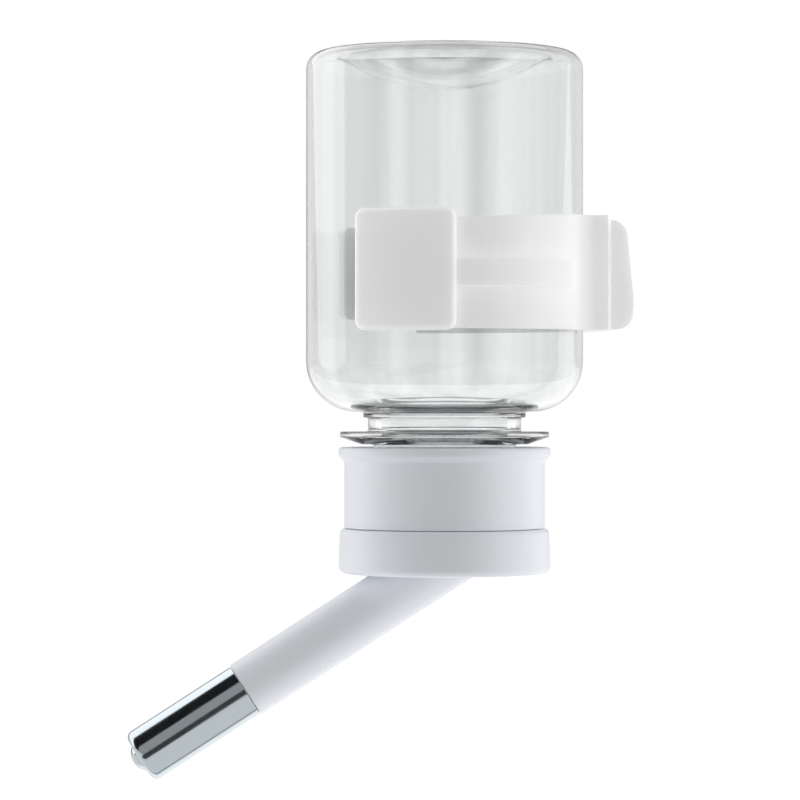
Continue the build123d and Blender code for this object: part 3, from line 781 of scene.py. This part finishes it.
class BOTTLE_OT_bottle(bpy.types.Operator):
    """Make the clear bottle with its hollow base, shoulder, neck flange and neck thread"""
    bl_idname = "water_bottle.bottle"
    bl_label = "Bottle"

    def execute(self, context):
        size = context.scene.water_bottle
        material = material_named("blown_pet")
        outline = self.outside(size) + self.inside(size)
        bottle = add_object("clear_bottle", mesh_from(turned(outline, closed=False), ON_AXIS))
        thread = self.make_thread(size, material)
        both = bmesh.new()
        both.from_mesh(bottle.data)
        both.from_mesh(thread.data)
        bottle.data = mesh_from(both, Matrix.Identity(4))
        bpy.data.objects.remove(thread)
        finish_piece(bottle, material, "clear_pet", "bottle", "bottle")
        # Clear PET lets the lamps' light through
        bottle.visible_shadow = False
        return {"FINISHED"}

    def punt(self, size, drop):
        """The hollow's arc from the middle to its rim, lowered by the wall where it is inside."""
        rise = size.punt_depth - size.punt_edge
        ball_r = (size.punt_r ** 2 + rise ** 2) / (2 * rise)
        base = BOTTLE_HIGH.z - size.punt_depth - drop
        steps = 20
        radii = [size.punt_r * step / steps for step in range(steps + 1)]
        return [Vector((r, base + ball_r - math.sqrt(ball_r ** 2 - r ** 2))) for r in radii]

    def outside(self, size):
        """From the middle of the base down to the lip: foot ring, wall, shoulder, a small step,
        the neck, the flange's rim, the cone under it and the finish that carries the thread."""
        top, low = BOTTLE_HIGH.z, BOTTLE_LOW.z
        crisp, soft, wide = 0.35 * MM, 0.5 * MM, 0.6 * MM
        step_r, step = 20.3 * MM, size.shoulder_z - 1.5 * MM
        flange = CAP_HIGH.z + 3.9 * MM
        rim, cone_r, cone = flange - 1.35 * MM, 20.9 * MM, flange - 3.1 * MM
        arc = self.punt(size, 0)
        wall = rounded([
            (*arc[-1], 0), (size.foot_inner, top, size.foot_edge), (BOTTLE_R, top, size.base_corner),
            (BOTTLE_R, size.shoulder_z, size.shoulder_r), (step_r, size.shoulder_z, soft),
            (step_r, step, crisp), (size.neck_r, step, wide), (size.neck_r, flange, wide),
            (size.flange_r, flange, crisp), (size.flange_r, rim, crisp), (cone_r, cone, soft),
            (size.finish_r, cone, soft), (size.finish_r, low, crisp), (size.bore_r, low, 0)])
        return arc[:-1] + wall

    def inside(self, size):
        """From just above the lip up the bore and the wall to the middle of the base."""
        top, wall = BOTTLE_HIGH.z - size.wall, size.wall
        mouth, punt_rim = BOTTLE_LOW.z + 0.3 * MM, size.foot_inner + 0.4 * MM
        arc = self.punt(size, wall)
        shoulder = size.shoulder_z + wall
        skin = rounded([
            (size.bore_r, mouth, 0), (size.bore_r, shoulder, size.throat),
            (BOTTLE_R - wall, shoulder, size.shoulder_r - wall),
            (BOTTLE_R - wall, top, size.base_corner - wall),
            (punt_rim, top, size.foot_edge), (*arc[-1], 0)])
        return skin[:-1] + arc[::-1]

    def make_thread(self, size, material):
        """The neck's helical ridge, half sunk in the wall."""
        ridge, ridge_out = 0.85 * MM, 0.25 * MM
        start = BOTTLE_LOW.z + 3.0 * MM
        thread = run_tree("neck_thread", helix_tree("Thread ridge"), material, {
            "Radius": size.finish_r + ridge_out, "Height": size.thread_pitch * size.thread_turns,
            "Turns": size.thread_turns, "Wire": ridge, "Sides": 10, "Steps": 90})
        thread.data.transform(Matrix.Translation((AXIS_X, 0, start)))
        return thread


class BOTTLE_OT_cap(bpy.types.Operator):
    """Make the white screw cap and the swivel ring below it"""
    bl_idname = "water_bottle.cap"
    bl_label = "Cap and swivel ring"

    def execute(self, context):
        size = context.scene.water_cap
        white = material_named("moulded_white_pp")
        cap = add_object("screw_cap_moulded", mesh_from(turned(self.cap_outline(size), True), ON_AXIS))
        finish_piece(cap, white, "white_pp", "cap", "screw_cap")
        ring = add_object("swivel_ring_moulded",
                          mesh_from(turned(self.ring_outline(size), False), ON_AXIS))
        self.cut_spout_hole(ring)
        finish_piece(ring, white, "white_pp", "spout", "swivel_ring")
        return {"FINISHED"}

    def cap_outline(self, size):
        """From the gland out under the floor, up the skirt and its flared lip, down inside it,
        and over the wall that carries the thread."""
        low, top = CAP_LOW.z, CAP_HIGH.z
        soft, crisp, waist, lip_edge = 0.5 * MM, 0.2 * MM, 0.8 * MM, 0.9 * MM
        under = RING_HIGH.z + 0.1 * MM
        floor = under + size.floor_t
        lip_r, lip = (CAP_HIGH.x - CAP_LOW.x) / 2, top - size.lip_height
        flare = lip + 1.3 * MM
        inner = size.cap_r - size.wall
        outer, thread_top = size.thread_wall_r + 1.5 * MM, top - 1.5 * MM
        return rounded([
            (size.hole_r, low, crisp), (size.gland_r, low, soft), (size.gland_r, under, crisp),
            (size.cap_r, under, soft), (size.cap_r, lip, waist), (lip_r, flare, lip_edge),
            (lip_r, top, lip_edge), (inner, top, soft), (inner, floor, soft), (outer, floor, soft),
            (outer, thread_top, crisp), (size.thread_wall_r, thread_top, soft),
            (size.thread_wall_r, floor, crisp), (size.hole_r, floor, crisp)], closed=True)

    def ring_outline(self, size):
        """From the middle of the floor out under it, up the leaning side and back down inside.

        The side's line meets the floor a little outside the rounded corner."""
        low, top = RING_LOW.z, RING_HIGH.z
        bottom_r = RING_HIGH.y + 0.12 * MM
        rim_edge, inner_edge, floor_edge = 1.2 * MM, 0.4 * MM, 0.8 * MM
        inner_r, floor = size.ring_top_r - size.wall, RING_LOW.z + size.floor_t
        return rounded([
            (0, low, 0), (bottom_r, low, size.ring_corner), (size.ring_top_r, top, rim_edge),
            (inner_r, top, inner_edge), (inner_r, floor, floor_edge), (0, floor, 0)])

    def cut_spout_hole(self, ring):
        """Cuts the slanted hole that the spout tube comes out of."""
        hole_r, inwards = 7.36 * MM, -140 * MM
        outline = [(0, inwards), (hole_r, inwards), (hole_r, 0), (0, 0)]
        shape = turned(outline, False, FINE_SEGMENTS)
        cutter = add_object("cutter", mesh_from(shape, spout_place()))
        cut = ring.modifiers.new("Spout hole", "BOOLEAN")
        cut.object = cutter
        cut.solver = "EXACT"
        apply_modifiers(ring)
        shade(ring.data)
        bpy.data.objects.remove(cutter)


class BOTTLE_OT_spout(bpy.types.Operator):
    """Make the spout tube, its steel sleeve, the ball and the spring behind it"""
    bl_idname = "water_bottle.spout"
    bl_label = "Spout and valve"

    def execute(self, context):
        size = context.scene.water_spout
        place = spout_place()
        tube = moulded_copy("spout_tube", 0.25 * MM)
        finish_piece(tube, material_named("moulded_white_pp"), "white_pp", "spout", "spout_tube")
        sleeve = add_object("steel_sleeve", mesh_from(
            turned(self.sleeve_outline(size), True), place))
        finish_piece(sleeve, material_named("drawn_stainless_sleeve"), "stainless", "spout",
                     "tip_sleeve")
        self.make_ball(place)
        self.make_spring(size, place)
        for node, material in (
                ("sleeve_oring", "black_nitrile"), ("swivel_oring", "black_nitrile"),
                ("valve_housing", "natural_acetal"), ("spring_stop", "natural_acetal"),
                ("valve_seat", "clear_silicone"), ("snap_ring", "pressed_snap_ring"),
                ("slip_washer", "natural_acetal"), ("cap_seal", "clear_silicone")):
            repaint(node, material_named(material))
        return {"FINISHED"}

    def sleeve_outline(self, size):
        """A thin tube, open where it begins and rolled in to a small mouth at its end."""
        thick, roll = size.sleeve_t, size.roll_r
        cut_edge, mouth_edge = 0.18 * MM, 0.2 * MM
        inner, under = size.sleeve_r - thick, size.sleeve_end - thick
        return rounded([
            (size.sleeve_r, size.sleeve_start, cut_edge), (size.sleeve_r, size.sleeve_end, roll),
            (size.mouth_r, size.sleeve_end, mouth_edge), (size.mouth_r, under, mouth_edge),
            (inner, under, roll - thick), (inner, size.sleeve_start, cut_edge)], closed=True)

    def make_ball(self, place):
        """A full round ball, finer than its CAD node."""
        steps = 72
        angles = [math.pi * step / steps for step in range(steps + 1)]
        arc = [(BALL_R * math.sin(a), BALL_R * math.cos(a)) for a in angles]
        ball = add_object("steel_ball", mesh_from(turned(arc, False, FINE_SEGMENTS), place))
        finish_piece(ball, material_named("polished_stainless_ball"), "stainless_ball", "ball",
                     "valve_ball")

    def make_spring(self, size, place):
        """The compression spring, from its stop to just behind the ball."""
        play = 0.05 * MM
        reach = BALL_R + size.spring_wire + play
        end = -math.sqrt(reach ** 2 - size.spring_r ** 2)
        free = end - size.spring_start
        spring = run_tree("valve_coil", helix_tree("Spring wire"),
                          material_named("drawn_spring_wire"), {
                              "Radius": size.spring_r, "Height": free, "Turns": size.spring_turns,
                              "Wire": size.spring_wire, "Sides": 12, "Steps": 56})
        spring.data.transform(place @ Matrix.Translation((0, 0, size.spring_start)))
        finish_piece(spring, material_named("drawn_spring_wire"), "spring_steel", "spout",
                     "valve_spring")
        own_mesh(spring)


class BOTTLE_OT_clip(bpy.types.Operator):
    """Make the frosted clip, its lock plate, thumb nut, bolt and washer"""
    bl_idname = "water_bottle.clip"
    bl_label = "Clip"

    def execute(self, context):
        size = context.scene.water_clip
        frosted = material_named("natural_frosted_pp")
        ring = moulded_copy("clip_ring", size.edge)
        finish_piece(ring, frosted, "frosted_pp", "clip", "clip_ring")
        plate = moulded_copy("lock_plate", size.plate_edge, 4)
        finish_piece(plate, frosted, "frosted_pp", "plate", "lock_plate")
        self.make_nut(size, frosted)
        for node in ("clip_bolt", "bolt_washer"):
            repaint(node, material_named("turned_stainless"))
        repaint("nut_insert", material_named("turned_brass"))
        return {"FINISHED"}

    def make_nut(self, size, material):
        """The thumb nut: a dished disc round the brass insert, with ribs to grip."""
        thick = NUT_HIGH.x - NUT_LOW.x
        proud = 0.7 * size.grip_r
        outer = NUT_HIGH.y - proud
        rim, dish_r, dish = 7.9 * MM, 7.2 * MM, thick - 0.9 * MM
        hub_foot, hub_r, hub = 5.4 * MM, 4.9 * MM, thick - 0.3 * MM
        bore, crisp, low_edge, top_edge = 4.2 * MM, 0.15 * MM, 0.4 * MM, 0.7 * MM
        rib_base, rib_length = 0.3 * MM, thick - 0.9 * MM
        outline = rounded([
            (bore, 0, crisp), (outer, 0, low_edge), (outer, thick, top_edge),
            (rim, thick, 0.5 * MM), (dish_r, dish, 0.5 * MM), (hub_foot, dish, 0.4 * MM),
            (hub_r, hub, 0.3 * MM), (bore, hub, crisp)], closed=True)
        disc = mesh_from(turned(outline, True, FINE_SEGMENTS), Matrix.Identity(4))
        nut = run_tree("thumb_nut_moulded", grip_tree("Nut grips"), material, {
            "Count": size.grips, "Radius": NUT_HIGH.y - size.grip_r, "Rib": size.grip_r,
            "Length": rib_length, "Base": rib_base}, disc)
        nut.data.transform(nut_place())
        finish_piece(nut, material, "frosted_pp", "nut", "thumb_nut")


class BOTTLE_PT_panel(bpy.types.Panel):
    """Lists the pieces and the stage"""
    bl_idname = "BOTTLE_PT_panel"
    bl_label = "Water Bottle"
    bl_space_type = "VIEW_3D"
    bl_region_type = "UI"
    bl_category = "Water Bottle"

    def draw(self, context):
        for step in STEPS:
            self.layout.operator(step.bl_idname)
        for group in SETTINGS:
            settings = getattr(context.scene, group)
            for label in settings.bl_rna.properties.keys():
                if label not in ("rna_type", "name"):
                    self.layout.prop(settings, label)


STEPS = (BOTTLE_OT_camera, BOTTLE_OT_materials, BOTTLE_OT_stage, BOTTLE_OT_bottle, BOTTLE_OT_cap,
         BOTTLE_OT_spout, BOTTLE_OT_clip)
SETTINGS = {"water_bottle": BottleSizes, "water_cap": CapSizes, "water_spout": SpoutSizes,
            "water_clip": ClipSizes, "water_looks": Looks, "water_studio": StudioSizes}


def register():
    for kind in (*SETTINGS.values(), *STEPS, BOTTLE_PT_panel):
        bpy.utils.register_class(kind)
    for label, kind in SETTINGS.items():
        setattr(bpy.types.Scene, label, PointerProperty(type=kind))


def unregister():
    for label in SETTINGS:
        delattr(bpy.types.Scene, label)
    for kind in reversed((*SETTINGS.values(), *STEPS, BOTTLE_PT_panel)):
        bpy.utils.unregister_class(kind)


def main():
    """Builds the scene in order."""
    register()
    bpy.ops.water_bottle.camera()
    bpy.ops.water_bottle.materials()
    bpy.ops.water_bottle.stage()
    bpy.ops.water_bottle.bottle()
    bpy.ops.water_bottle.cap()
    bpy.ops.water_bottle.spout()
    bpy.ops.water_bottle.clip()
    bpy.context.view_layer.update()


if __name__ == "__main__":
    main()
